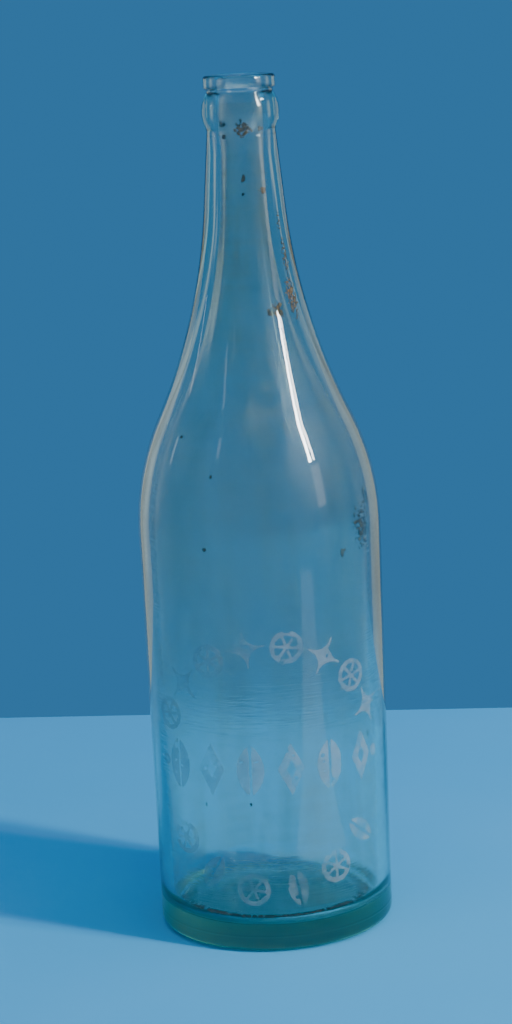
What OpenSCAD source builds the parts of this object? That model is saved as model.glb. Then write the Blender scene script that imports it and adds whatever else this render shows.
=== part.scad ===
// Glass soda bottle: one pressed and blown glass body with a crown finish,
// decorated on the front with a ring of fired enamel ornaments.
// Millimetres. +Z is up, the bottle stands on z = 0 and its axis is the Z axis.
// The decorated front faces -Y.

/* [Body] */
// Height from the standing surface to the lip
overall_h = 322.5; // [270:0.5:390]
// Diameter of the body just above the heel
body_d = 89.4; // [74:0.2:108]
// How much wider the body is at the shoulder than at the heel
body_flare = 2.2; // [0:0.1:6]
// Glass thickness of the straight body wall
body_wall = 5; // [3:0.1:7]

/* [Shoulder and neck] */
// Height from the start of the shoulder to the foot of the straight neck
shoulder_h = 121.5; // [100:0.5:146]
// Radius of the rounded shoulder
shoulder_round = 102; // [70:1:122]
// Height of the straight part of the neck
neck_h = 28; // [16:0.5:40]
// Diameter of the neck under the finish
neck_d = 25.6; // [22:0.1:27.6]
// Taper of the straight neck, in degrees on each side
neck_taper = 5; // [2:0.1:8]
// Glass thickness at the foot of the straight neck
neck_wall = 6.2; // [4:0.1:8]

/* [Finish] */
// Height of the finish, from its foot to the lip
finish_h = 20.5; // [19:0.1:25]
// Diameter of the locking ring that a crown cork grips
crown_d = 26.6; // [25:0.1:30]
// Depth of the groove under the locking ring
groove_depth = 1.1; // [0.6:0.1:2]
// Radius of the bottom of that groove
groove_round = 1; // [0.6:0.1:1.5]
// How far the collar under the groove stands out past the locking ring
collar_stand = 1.1; // [0.4:0.1:2]
// Radius of the barrel side of the collar
collar_round = 13; // [9:0.5:15]
// Distance from the lip down to the widest part of the collar
collar_drop = 13.4; // [12:0.1:15]
// Radius of the blend from the collar into the neck
collar_blend = 4; // [2:0.5:6]
// Outside rounding of the lip
lip_round = 1.4; // [0.8:0.1:2]

/* [Throat] */
// Diameter of the straight bore in the mouth
bore_d = 16.6; // [13:0.1:20]
// Length of the straight bore, from the lip rounding down
bore_h = 20; // [12:0.5:26]
// Diameter of the narrowest place, below the bore
choke_d = 16; // [12.6:0.1:19.4]
// Distance from the end of the bore down to the narrowest place
choke_drop = 8; // [4:0.5:12]
// Inside rounding of the lip
mouth_round = 1.3; // [0.6:0.1:1.8]

/* [Base] */
// Rounding of the heel
heel_round = 3.5; // [2:0.5:8]
// Width of the ring that the bottle stands on
bearing_w = 5; // [3:0.5:8]
// Height of the push-up under the base
kick_h = 4.5; // [2:0.1:7]
// Height of the inside corner of the floor above the standing surface
floor_h = 8.5; // [7:0.1:14]
// How far the middle of the floor rises above that corner
floor_rise = 3; // [0:0.1:6]
// Rounding inside, where the wall meets the floor
floor_round = 7; // [3:0.5:12]

/* [Ornament] */
// Thickness of the fired enamel
enamel_t = 0.15; // [0.1:0.01:0.3]
// Height of the middle of the ornament ring above the standing surface
ring_z = 71; // [68:0.5:80]
// Radius of the ornament ring, measured along the wall
ring_r = 47; // [42:0.5:52]
// Radial height of an ornament in the ring
ring_motif_h = 15; // [10:0.5:17]
// Number of ornaments in the upper half of the ring
upper_count = 8; // [4:1:9]
// Angle between neighbours in the upper half of the ring, in degrees
upper_pitch = 19; // [18:0.5:20]
// Number of ornaments in the lower half of the ring
lower_count = 6; // [4:1:7]
// Angle between neighbours in the lower half of the ring, in degrees
lower_pitch = 21; // [19:0.5:22]
// Number of ornaments in the centre row
centre_count = 6; // [4:1:6]
// Distance between neighbours in the centre row, along the wall
centre_pitch = 15.5; // [14:0.5:16]
// Height of an ornament in the centre row
centre_motif_h = 20; // [14:0.5:24]
// Width of the painted lines
stroke_w = 3; // [2:0.1:3.5]

/* [Hidden] */

$fn = 96;
arc_chord = 2.5;
arc_least = 6;

glass_tint = [0.66, 0.86, 0.86, 0.55];
enamel_tint = [0.82, 0.83, 0.80];

// Heights of the stacked parts, from the lip down
neck_top_z = overall_h - finish_h;
neck_foot_z = neck_top_z - neck_h;
shoulder_z = neck_foot_z - shoulder_h;

// Outside of the body
body_r = body_d / 2;
lean = atan(body_flare / 2 / shoulder_z);
shoulder_r = body_r + body_flare / 2;
neck_foot_r = neck_d / 2 + neck_h * tan(neck_taper);

// Inside of the body
bore_r = bore_d / 2;
choke_r = choke_d / 2;
choke_z = overall_h - mouth_round - bore_h - choke_drop;
cavity_r = body_r - body_wall;
throat_foot_r = neck_foot_r - neck_wall;
throat_taper = atan((throat_foot_r - choke_r) / (choke_z - neck_foot_z));

// Finish
crown_r = crown_d / 2;
groove_r = crown_r - groove_depth;
collar_r = crown_r + collar_stand;
collar_z = overall_h - collar_drop;
groove_exit = 120;

// Shares of an ornament's own height
leaf_fat = 0.52;
slice_size = 0.84;
rind_share = 0.6;
star_waist = 0.2;
star_reach = 0.6;

// ---- Arcs -------------------------------------------------------------

// Points on an arc round c, from angle a to angle b, with both ends
function arc(c, r, a, b) =
    let (n = max(arc_least, ceil(abs(b - a) * PI / 180 * r / arc_chord)))
    [for (i = [0 : n]) let (t = a + (b - a) * i / n) c + r * [cos(t), sin(t)]];

// The same points without the first, to follow on from another arc
function arc_on(c, r, a, b) =
    let (p = arc(c, r, a, b)) [for (i = [1 : len(p) - 1]) p[i]];

function reversed(p) = [for (i = [len(p) - 1 : -1 : 0]) p[i]];

// ---- Shoulder: a convex arc of radius r that runs into a concave sweep ----

// Centre of the convex arc that leaves the body line at p
function convex_centre(p, r) = p - r * [cos(lean), -sin(lean)];

// Radius of the sweep that is tangent to that arc and to the neck line at q
function sweep_radius(a, r, q, taper) =
    let (v = a - q)
    (v * v - r * r) / (2 * (r + v * [cos(taper), sin(taper)]));

function sweep_centre(a, r, q, taper) =
    q + sweep_radius(a, r, q, taper) * [cos(taper), sin(taper)];

// Angle at which the two arcs meet
function meet_angle(a, b) = atan2(b[1] - a[1], b[0] - a[0]);

function shoulder_arc(p, r, q, taper, gap) =
    let (a = convex_centre(p, r), b = sweep_centre(a, r, q, taper))
    arc(a, r + gap, -lean, meet_angle(a, b));

function sweep_arc(p, r, q, taper) =
    let (a = convex_centre(p, r), b = sweep_centre(a, r, q, taper))
    arc_on(b, sweep_radius(a, r, q, taper), 180 + meet_angle(a, b), 180 + taper);

// ---- Outline of the glass ---------------------------------------------

shoulder_at = [shoulder_r, shoulder_z];
neck_foot_at = [neck_foot_r, neck_foot_z];
inner_shoulder_at = shoulder_at - body_wall * [cos(lean), -sin(lean)];
throat_foot_at = [throat_foot_r, neck_foot_z];

// A shallow dome from the axis at height h + rise to radius r at height h
function dome(r, h, rise) =
    rise == 0 ? [[0, h], [r, h]] :
    let (big = (r * r + rise * rise) / (2 * rise))
    arc([0, h + rise - big], big, 90, acos(r / big));

heel_foot_r = body_r - heel_round;
function under_side() = concat(
    dome(heel_foot_r - bearing_w, 0, kick_h),
    arc([heel_foot_r, heel_round], heel_round, -90, -lean)
);

function outer_wall() = concat(
    shoulder_arc(shoulder_at, shoulder_round, neck_foot_at, neck_taper, 0),
    sweep_arc(shoulder_at, shoulder_round, neck_foot_at, neck_taper)
);

// The blend circle touches both the neck line and the barrel of the collar
collar_centre = [collar_r - collar_round, collar_z];
neck_normal = [cos(neck_taper), sin(neck_taper)];
neck_along = [-sin(neck_taper), cos(neck_taper)];
blend_line = [neck_d / 2, neck_top_z] + collar_blend * neck_normal;
blend_away = collar_centre - blend_line;
blend_side = abs(blend_away * neck_normal);
blend_reach = sqrt(pow(collar_round + collar_blend, 2) - pow(blend_side, 2));
blend_centre = blend_line + (blend_away * neck_along - blend_reach) * neck_along;
blend_to = meet_angle(blend_centre, collar_centre);

// The groove circle touches the barrel of the collar from above
groove_dx = groove_r + groove_round - collar_centre[0];
groove_dz = sqrt(pow(collar_round + groove_round, 2) - pow(groove_dx, 2));
groove_centre = collar_centre + [groove_dx, groove_dz];
groove_from = meet_angle(groove_centre, collar_centre);
groove_end = groove_centre + groove_round * [cos(groove_exit), sin(groove_exit)];
crown_foot_z = groove_end[1] - (crown_r - groove_end[0]) / tan(groove_exit);

function finish_side() = concat(
    arc(blend_centre, collar_blend, 180 + neck_taper, blend_to),
    arc_on(collar_centre, collar_round, blend_to - 180, groove_from + 180),
    arc_on(groove_centre, groove_round, groove_from + 360, groove_exit),
    [[crown_r, crown_foot_z]],
    arc([crown_r - lip_round, overall_h - lip_round], lip_round, 0, 90),
    arc([bore_r + mouth_round, overall_h - mouth_round], mouth_round, 90, 180)
);

function throat() = [
    [bore_r, choke_z + choke_drop],
    [choke_r, choke_z]
];

function inner_wall() = reversed(concat(
    shoulder_arc(inner_shoulder_at, shoulder_round - body_wall, throat_foot_at, throat_taper, 0),
    sweep_arc(inner_shoulder_at, shoulder_round - body_wall, throat_foot_at, throat_taper)
));

function floor_side() = concat(
    arc([cavity_r - floor_round, floor_h + floor_round], floor_round, -lean, -90),
    reversed(dome(cavity_r - floor_round, floor_h, floor_rise))
);

module glass_bottle() {
    color(glass_tint)
    rotate_extrude()
    polygon(concat(under_side(), outer_wall(), finish_side(), throat(), inner_wall(), floor_side()));
}

// ---- Enamel ornaments ---------------------------------------------------

// The wall's own surface, enamel_t thick, from the heel to the end of the shoulder
function wall_line(gap) = concat(
    [[heel_foot_r, heel_round] + (heel_round + gap) * [cos(lean), -sin(lean)]],
    shoulder_arc(shoulder_at, shoulder_round, neck_foot_at, neck_taper, gap)
);

module wall_skin() {
    rotate_extrude()
    polygon(concat(wall_line(0), reversed(wall_line(enamel_t))));
}

// Cuts the child outline out of the skin, at a distance along the wall from the
// middle of the front and at a height, turned by tilt
module on_wall(along, z, tilt) {
    rotate([0, 0, along / shoulder_r * 180 / PI])
    translate([0, 0, z])
    rotate([90, 0, 0])
    linear_extrude(shoulder_r + 2 * enamel_t)
    rotate(tilt)
    children();
}

// A place on the ornament ring, turn degrees clockwise from the top
module on_ring(turn) {
    on_wall(ring_r * sin(turn), ring_z + ring_r * cos(turn), -turn) children();
}

// Turns of every second ornament in a half ring of n
function half_ring(n, pitch, first) =
    [for (i = [first : 2 : n - 1]) (i - (n - 1) / 2) * pitch];

// A round slice of citrus: the rind and the skins between its segments
module slice(h) {
    difference() {
        circle(h / 2);
        circle(h / 2 - rind_share * stroke_w);
    }
    for (a = [0 : 60 : 120])
        rotate(a) square([h - stroke_w, stroke_w / 3], center = true);
}

// Four points with hollow sides
module star(h) {
    difference() {
        rotate(45) square(h / sqrt(2), center = true);
        for (a = [45 : 90 : 315])
            rotate(a) translate([h * star_reach, 0]) circle(h * (star_reach - star_waist));
    }
}

// Two crossing circles make the leaf, and a clear vein splits it
module leaf(h) {
    w = h * leaf_fat / 2;
    r = (h * h / 4 + w * w) / (2 * w);
    difference() {
        intersection() {
            translate([r - w, 0]) circle(r);
            translate([w - r, 0]) circle(r);
        }
        square([stroke_w / 3, h * 2], center = true);
    }
}

module lozenge(h) {
    w = h * leaf_fat;
    inset = stroke_w * sqrt(h * h + w * w);
    in_x = w / 2 - inset / h;
    in_y = h / 2 - inset / w;
    difference() {
        polygon([[w / 2, 0], [0, h / 2], [-w / 2, 0], [0, -h / 2]]);
        polygon([[in_x, 0], [0, in_y], [-in_x, 0], [0, -in_y]]);
    }
}

module enamel() {
    color(enamel_tint)
    intersection() {
        wall_skin();
        union() children();
    }
}

module enamel_upper_slices() {
    enamel()
    for (t = half_ring(upper_count, upper_pitch, 0))
        on_ring(t) slice(ring_motif_h * slice_size);
}

module enamel_upper_stars() {
    enamel()
    for (t = half_ring(upper_count, upper_pitch, 1))
        on_ring(t) star(ring_motif_h);
}

module enamel_centre_leaves() {
    enamel()
    for (i = [0 : 2 : centre_count - 1])
        on_wall((i - (centre_count - 1) / 2) * centre_pitch, ring_z, 0) leaf(centre_motif_h);
}

module enamel_centre_lozenges() {
    enamel()
    for (i = [1 : 2 : centre_count - 1])
        on_wall((i - (centre_count - 1) / 2) * centre_pitch, ring_z, 0) lozenge(centre_motif_h);
}

module enamel_lower_slices() {
    enamel()
    for (t = half_ring(lower_count, lower_pitch, 0))
        on_ring(180 - t) slice(ring_motif_h * slice_size);
}

module enamel_lower_leaves() {
    enamel()
    for (t = half_ring(lower_count, lower_pitch, 1))
        on_ring(180 - t) leaf(ring_motif_h);
}

module enamel_end_dots() {
    enamel()
    for (t = [-90, 90])
        on_ring(t) circle(stroke_w * 0.75);
}

glass_bottle();
enamel_upper_slices();
enamel_upper_stars();
enamel_centre_leaves();
enamel_centre_lozenges();
enamel_lower_slices();
enamel_lower_leaves();
enamel_end_dots();
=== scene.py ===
"""Looks for a one-litre glass soda bottle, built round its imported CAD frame.

The bottle is one thick-walled glass body, empty and open, with worn fired enamel ornaments on
its front. The glass is turned again here from the same outline as the CAD solid, with the marks
of real glass added: mould seams, an uneven inner wall, seed bubbles and a drawn ripple. The
enamel is rebuilt as thin, chipped layers, and a dried film and crusts of rust line the inside.
Lengths in the classes are millimetres, and MM turns them into metres. The front faces -Y.
"""

from __future__ import annotations

import cmath
import logging
import math
import random
from dataclasses import dataclass
from enum import Enum
from typing import Callable, Sequence

import bmesh
import bpy
import numpy as np
from mathutils import Matrix, Vector, noise


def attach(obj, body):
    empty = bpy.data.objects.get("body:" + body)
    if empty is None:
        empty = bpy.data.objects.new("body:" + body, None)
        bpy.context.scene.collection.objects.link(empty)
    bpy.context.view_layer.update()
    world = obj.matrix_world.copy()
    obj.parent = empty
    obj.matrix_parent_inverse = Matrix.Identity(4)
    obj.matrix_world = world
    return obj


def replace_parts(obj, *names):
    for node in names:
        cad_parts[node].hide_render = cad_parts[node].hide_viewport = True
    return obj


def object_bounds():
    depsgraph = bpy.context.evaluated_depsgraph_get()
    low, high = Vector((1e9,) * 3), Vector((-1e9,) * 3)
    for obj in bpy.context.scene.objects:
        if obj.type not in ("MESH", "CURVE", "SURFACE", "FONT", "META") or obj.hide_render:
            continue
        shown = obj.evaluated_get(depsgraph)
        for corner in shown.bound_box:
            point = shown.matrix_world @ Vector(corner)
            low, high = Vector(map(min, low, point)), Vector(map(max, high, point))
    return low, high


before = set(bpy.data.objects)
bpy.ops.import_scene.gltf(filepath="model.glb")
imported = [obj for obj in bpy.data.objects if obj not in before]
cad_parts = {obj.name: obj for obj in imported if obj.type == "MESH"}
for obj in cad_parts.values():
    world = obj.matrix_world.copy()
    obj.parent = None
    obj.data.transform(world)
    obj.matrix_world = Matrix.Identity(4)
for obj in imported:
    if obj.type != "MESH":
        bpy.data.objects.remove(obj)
CAD_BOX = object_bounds()

MM = 0.001
BODY = "root"
INNER_MARK = "inner_wall"
UNDER_MARK = "moulded_under"
CONTACT_GAP = 0.0002
CLEAR = (1.0, 1.0, 1.0)
LOG = logging.getLogger("bottle")

Socket = bpy.types.NodeSocket
Place = Callable[[float, float, float], Vector]
Field = Callable[[np.ndarray, np.ndarray], np.ndarray]


class Slot(Enum):
    """Names of the material slots."""

    GLASS = "bottle_glass"
    ENAMEL = "fired_enamel"


class Motif(Enum):
    """The kinds of enamel ornament."""

    SLICE = "slice"
    STAR = "star"
    LEAF = "leaf"
    LOZENGE = "lozenge"
    DOT = "dot"


# ---- Node tools ---------------------------------------------------------------------------


class NodeBench:
    """Lays and joins the nodes of one tree."""

    def __init__(self, tree: bpy.types.NodeTree) -> None:
        """Clears the tree.

        Args:
            tree: The node tree to work on.
        """
        self.tree = tree
        tree.nodes.clear()

    def add(self, kind: str, **sockets: object) -> bpy.types.Node:
        """Adds a node.

        Args:
            kind: The node's type name.
            sockets: Input values by name, with _ for a space. A name in small letters sets a
                property of the node instead.

        Returns:
            The new node.
        """
        node = self.tree.nodes.new(kind)
        for name, value in sockets.items():
            if name[0].islower():
                setattr(node, name, value)
            else:
                self.feed(node, name.replace("_", " "), value)
        return node

    def feed(self, node: bpy.types.Node, name: str | int, value: object) -> None:
        """Sets or links one input.

        Args:
            node: The node that takes the value.
            name: The input's name or number.
            value: A plain value, or an output socket to link from.
        """
        if isinstance(value, Socket):
            self.tree.links.new(value, node.inputs[name])
        else:
            node.inputs[name].default_value = value

    def maths(self, operation: str, *terms: object) -> Socket:
        """Adds a Math node.

        Args:
            operation: The node's operation.
            terms: Its inputs in order, numbers or sockets.

        Returns:
            The result's socket.
        """
        node = self.add("ShaderNodeMath", operation=operation)
        for index, term in enumerate(terms):
            self.feed(node, index, term)
        return node.outputs[0]

    def spread(
        self, value: object, low: float, high: float, to_low: object, to_high: object
    ) -> Socket:
        """Adds a smooth Map Range node.

        Args:
            value: The socket to map.
            low: The value that becomes to_low.
            high: The value that becomes to_high.
            to_low: The result below low.
            to_high: The result above high.

        Returns:
            The result's socket.
        """
        node = self.add("ShaderNodeMapRange", interpolation_type="SMOOTHSTEP")
        for index, term in enumerate((value, low, high, to_low, to_high)):
            self.feed(node, index, term)
        return node.outputs[0]

    def blend(self, share: object, first: object, second: object) -> Socket:
        """Adds a colour Mix node.

        Args:
            share: How much of the second colour shows.
            first: The colour at share 0.
            second: The colour at share 1.

        Returns:
            The mixed colour's socket.
        """
        node = self.add("ShaderNodeMix", data_type="RGBA")
        for name, value in (("Factor", share), ("A", first), ("B", second)):
            kind = "VALUE" if name == "Factor" else "RGBA"
            socket = next(s for s in node.inputs if s.name == name and s.type == kind)
            if isinstance(value, Socket):
                self.tree.links.new(value, socket)
            else:
                socket.default_value = value
        return next(s for s in node.outputs if s.type == "RGBA")


def rgba(colour: Sequence[float]) -> tuple[float, float, float, float]:
    """Adds full alpha to a linear colour."""
    return (colour[0], colour[1], colour[2], 1.0)


class EffectGroups:
    """Shader node groups that the finishes share, each built once."""

    FINE_TIMES = 6.3
    FINE_SHARE = 0.35
    FADE_SCALE = 22.0
    FADE_EDGE = 0.12

    def __init__(self) -> None:
        """Builds the four groups."""
        self.patches = self._patches()
        self.grain = self._grain()
        self.drift = self._drift()
        self.ripple = self._ripple()

    @staticmethod
    def _open(
        name: str, values: dict[str, float], colours: Sequence[str], out: tuple[str, str]
    ) -> tuple[NodeBench, bpy.types.Node, bpy.types.Node]:
        """Starts a group with its sockets.

        Args:
            name: The group's name.
            values: Number inputs and their defaults.
            colours: Colour inputs.
            out: The output's name and socket type.

        Returns:
            The group's bench, its input node and its output node.
        """
        tree = bpy.data.node_groups.new(name, "ShaderNodeTree")
        for label, value in values.items():
            socket = tree.interface.new_socket(label, in_out="INPUT", socket_type="NodeSocketFloat")
            socket.default_value = value
        for label in colours:
            tree.interface.new_socket(label, in_out="INPUT", socket_type="NodeSocketColor")
        tree.interface.new_socket(out[0], in_out="OUTPUT", socket_type=out[1])
        bench = NodeBench(tree)
        return bench, bench.add("NodeGroupInput"), bench.add("NodeGroupOutput")

    @staticmethod
    def _stretched(bench: NodeBench, stretch: Socket) -> Socket:
        """Object coordinates whose height is multiplied.

        Args:
            bench: The group's bench.
            stretch: The factor on height.

        Returns:
            The coordinates' socket.
        """
        where = bench.add("ShaderNodeTexCoord")
        factor = bench.add("ShaderNodeCombineXYZ", X=1.0, Y=1.0, Z=stretch)
        scaled = bench.add("ShaderNodeVectorMath", operation="MULTIPLY")
        bench.feed(scaled, 0, where.outputs["Object"])
        bench.feed(scaled, 1, factor.outputs[0])
        return scaled.outputs[0]

    def _patches(self) -> bpy.types.NodeTree:
        """Uneven patches, such as wear or drying: Mask is 1 in a patch and 0 outside.

        Returns:
            The group's tree.
        """
        bench, given, out = self._open(
            "uneven_patches",
            {"Scale": 100.0, "Cover": 0.5, "Edge": 0.1, "Stretch": 1.0},
            (),
            ("Mask", "NodeSocketFloat"),
        )
        at = self._stretched(bench, given.outputs["Stretch"])
        broad = bench.add("ShaderNodeTexNoise", Vector=at, Scale=given.outputs["Scale"], Detail=3.0)
        fine_scale = bench.maths("MULTIPLY", given.outputs["Scale"], self.FINE_TIMES)
        fine = bench.add("ShaderNodeTexNoise", Vector=at, Scale=fine_scale, Detail=2.0)
        share = self.FINE_SHARE
        mixed = bench.maths("MULTIPLY_ADD", fine.outputs["Fac"], share, -share / 2)
        level = bench.maths("ADD", broad.outputs["Fac"], mixed)
        limit = bench.maths("SUBTRACT", 1.0, given.outputs["Cover"])
        low = bench.maths("SUBTRACT", limit, given.outputs["Edge"])
        high = bench.maths("ADD", limit, given.outputs["Edge"])
        mask = bench.spread(level, low, high, 0.0, 1.0)
        bench.feed(out, "Mask", mask)
        return bench.tree

    def _grain(self) -> bpy.types.NodeTree:
        """Fine grain of a dry surface: Height is about 0.5 with small peaks.

        Returns:
            The group's tree.
        """
        bench, given, out = self._open(
            "fine_grain", {"Scale": 900.0, "Rough": 0.6}, (), ("Height", "NodeSocketFloat")
        )
        where = bench.add("ShaderNodeTexCoord")
        tex = bench.add(
            "ShaderNodeTexNoise",
            Vector=where.outputs["Object"],
            Scale=given.outputs["Scale"],
            Detail=4.0,
            Roughness=given.outputs["Rough"],
        )
        bench.feed(out, "Height", tex.outputs["Fac"])
        return bench.tree

    def _drift(self) -> bpy.types.NodeTree:
        """A slow change between two tones: Colour moves from First to Second and back.

        Returns:
            The group's tree.
        """
        bench, given, out = self._open(
            "tone_drift",
            {"Scale": 60.0, "Stretch": 1.0},
            ("First", "Second"),
            ("Colour", "NodeSocketColor"),
        )
        at = self._stretched(bench, given.outputs["Stretch"])
        tex = bench.add("ShaderNodeTexNoise", Vector=at, Scale=given.outputs["Scale"], Detail=5.0)
        share = bench.spread(tex.outputs["Fac"], 0.34, 0.66, 0.0, 1.0)
        mixed = bench.blend(share, given.outputs["First"], given.outputs["Second"])
        bench.feed(out, "Colour", mixed)
        return bench.tree

    def _ripple(self) -> bpy.types.NodeTree:
        """Fine level lines across a drawn wall: Height holds their relief, faded in patches.

        Returns:
            The group's tree.
        """
        bench, given, out = self._open(
            "drawn_ripple",
            {"Lines": 700.0, "Along": 45.0, "Cover": 0.5},
            (),
            ("Height", "NodeSocketFloat"),
        )
        where = bench.add("ShaderNodeTexCoord")
        factor = bench.add(
            "ShaderNodeCombineXYZ",
            X=given.outputs["Along"],
            Y=given.outputs["Along"],
            Z=given.outputs["Lines"],
        )
        scaled = bench.add("ShaderNodeVectorMath", operation="MULTIPLY")
        bench.feed(scaled, 0, where.outputs["Object"])
        bench.feed(scaled, 1, factor.outputs[0])
        lines = bench.add("ShaderNodeTexNoise", Vector=scaled.outputs[0], Scale=1.0, Detail=2.0)
        worn = bench.add("ShaderNodeGroup", node_tree=self.patches)
        bench.feed(worn, "Scale", self.FADE_SCALE)
        bench.feed(worn, "Cover", given.outputs["Cover"])
        bench.feed(worn, "Edge", self.FADE_EDGE)
        shown = bench.maths("MULTIPLY", lines.outputs["Fac"], worn.outputs["Mask"])
        bench.feed(out, "Height", shown)
        return bench.tree


class Finish:
    """Shared steps of every finish."""

    @staticmethod
    def start(name: str) -> tuple[bpy.types.Material, NodeBench]:
        """Makes an empty node material.

        Args:
            name: The material's name.

        Returns:
            The material and the bench of its tree.
        """
        material = bpy.data.materials.new(name)
        material.use_nodes = True
        return material, NodeBench(material.node_tree)

    @staticmethod
    def close(
        bench: NodeBench, shader: bpy.types.Node, volume: bpy.types.Node | None = None
    ) -> None:
        """Adds the output node.

        Args:
            bench: The material's bench.
            shader: The surface shader.
            volume: The volume shader, if the material has one.
        """
        out = bench.add("ShaderNodeOutputMaterial", Surface=shader.outputs[0])
        if volume is not None:
            bench.feed(out, "Volume", volume.outputs[0])

    @staticmethod
    def height(bench: NodeBench) -> Socket:
        """Adds the nodes that give height in metres.

        Args:
            bench: The material's bench.

        Returns:
            The height's socket.
        """
        where = bench.add("ShaderNodeTexCoord")
        split = bench.add("ShaderNodeSeparateXYZ", Vector=where.outputs["Object"])
        return split.outputs["Z"]

    @staticmethod
    def group(bench: NodeBench, tree: bpy.types.NodeTree, **values: object) -> Socket:
        """Places a shared group.

        Args:
            bench: The material's bench.
            tree: The group's tree.
            values: The group's inputs by name.

        Returns:
            The group's one output.
        """
        node = bench.add("ShaderNodeGroup", node_tree=tree)
        for name, value in values.items():
            bench.feed(node, name, value)
        return node.outputs[0]

    @classmethod
    def tones(
        cls,
        bench: NodeBench,
        groups: EffectGroups,
        scale: float,
        first: Sequence[float],
        second: Sequence[float],
        stretch: float = 1.0,
    ) -> Socket:
        """Places the slow change between two tones.

        Args:
            bench: The material's bench.
            groups: The shared groups.
            scale: The change's scale.
            first: One tone.
            second: The other tone.
            stretch: The factor on height.

        Returns:
            The colour's socket.
        """
        return cls.group(
            bench,
            groups.drift,
            Scale=scale,
            Stretch=stretch,
            First=rgba(first),
            Second=rgba(second),
        )

    @staticmethod
    def relief(
        bench: NodeBench, height: Socket, depth: float, strength: float
    ) -> Socket:
        """Adds a Bump node.

        Args:
            bench: The material's bench.
            height: The relief's socket.
            depth: Metres of relief for a height of one.
            strength: How much of the relief shows.

        Returns:
            The normal's socket.
        """
        bump = bench.add("ShaderNodeBump", Height=height, Distance=depth, Strength=strength)
        return bump.outputs["Normal"]


@dataclass(frozen=True)
class AquaGlass(Finish):
    """Pale aqua container glass, with drawn ripples and a trace of dried haze.

    Bands are heights in metres. The roughness of a drawn wall runs from clean to hazed.
    """

    ior: float = 1.52
    density: float = 30.0
    passed: tuple[float, float, float] = (0.2, 0.865, 0.62)
    polished_rough: float = 0.05
    drawn_rough: tuple[float, float] = (0.10, 0.20)
    under_rough: float = 0.42
    neck_coat: float = 0.85
    mouth_coat: float = 0.43
    heel_band: tuple[float, float] = (0.055, 0.09)
    body_band: tuple[float, float] = (0.15, 0.21)
    neck_band: tuple[float, float] = (0.20, 0.26)
    mouth_band: tuple[float, float] = (0.288, 0.306)
    ripple_depth: float = 0.00006
    ripple_lines: float = 1500.0
    ripple_along: float = 110.0
    ripple_cover: float = 0.64
    haze_scale: float = 30.0
    haze_cover: float = 0.55
    haze_edge: float = 0.2
    haze_stretch: float = 0.4

    def _rough(
        self, bench: NodeBench, z: Socket, inside: Socket, body: Socket, haze: Socket
    ) -> Socket:
        """The roughness: polished outside, drawn and coated inside, stippled underneath.

        Args:
            bench: The material's bench.
            z: Height.
            inside: 1 on the inner wall.
            body: 1 below the neck.
            haze: 1 where haze dried on.

        Returns:
            The roughness socket.
        """
        rising = bench.spread(z, *self.heel_band, 0.0, 1.0)
        drawn = bench.maths("MULTIPLY", inside, rising)
        neck = bench.spread(z, *self.neck_band, 1.0, self.neck_coat)
        mouth = bench.spread(z, *self.mouth_band, 0.0, self.mouth_coat)
        coated = bench.maths("ADD", neck, mouth)
        polished = bench.spread(haze, 0.0, 1.0, 0.0, self.polished_rough)
        outer_rough = bench.maths("MULTIPLY", body, polished)
        hazed = bench.spread(haze, 0.0, 1.0, *self.drawn_rough)
        inner_rough = bench.maths("MULTIPLY", drawn, hazed)
        under = bench.add("ShaderNodeAttribute", attribute_name=UNDER_MARK).outputs["Fac"]
        rough = bench.maths("MULTIPLY_ADD", inner_rough, coated, outer_rough)
        return bench.maths("MULTIPLY_ADD", under, self.under_rough, rough)

    def material(self, groups: EffectGroups) -> bpy.types.Material:
        """Makes the glass.

        Args:
            groups: The shared groups.

        Returns:
            The material.
        """
        material, bench = self.start("aqua_glass")
        z = self.height(bench)
        body = bench.spread(z, *self.body_band, 1.0, 0.0)
        inside = bench.add("ShaderNodeAttribute", attribute_name=INNER_MARK).outputs["Fac"]
        lines = self.group(
            bench,
            groups.ripple,
            Lines=self.ripple_lines,
            Along=self.ripple_along,
            Cover=self.ripple_cover,
        )
        shown = bench.maths("MULTIPLY", lines, bench.maths("MULTIPLY", inside, body))
        haze = self.group(
            bench,
            groups.patches,
            Scale=self.haze_scale,
            Cover=self.haze_cover,
            Edge=self.haze_edge,
            Stretch=self.haze_stretch,
        )
        shader = bench.add(
            "ShaderNodeBsdfPrincipled",
            Base_Color=rgba(CLEAR),
            Roughness=self._rough(bench, z, inside, body, haze),
            IOR=self.ior,
            Transmission_Weight=1.0,
            Normal=self.relief(bench, shown, self.ripple_depth, 1.0),
        )
        tint = bench.add(
            "ShaderNodeVolumeAbsorption", Color=rgba(self.passed), Density=self.density
        )
        self.close(bench, shader, tint)
        return material


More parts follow.
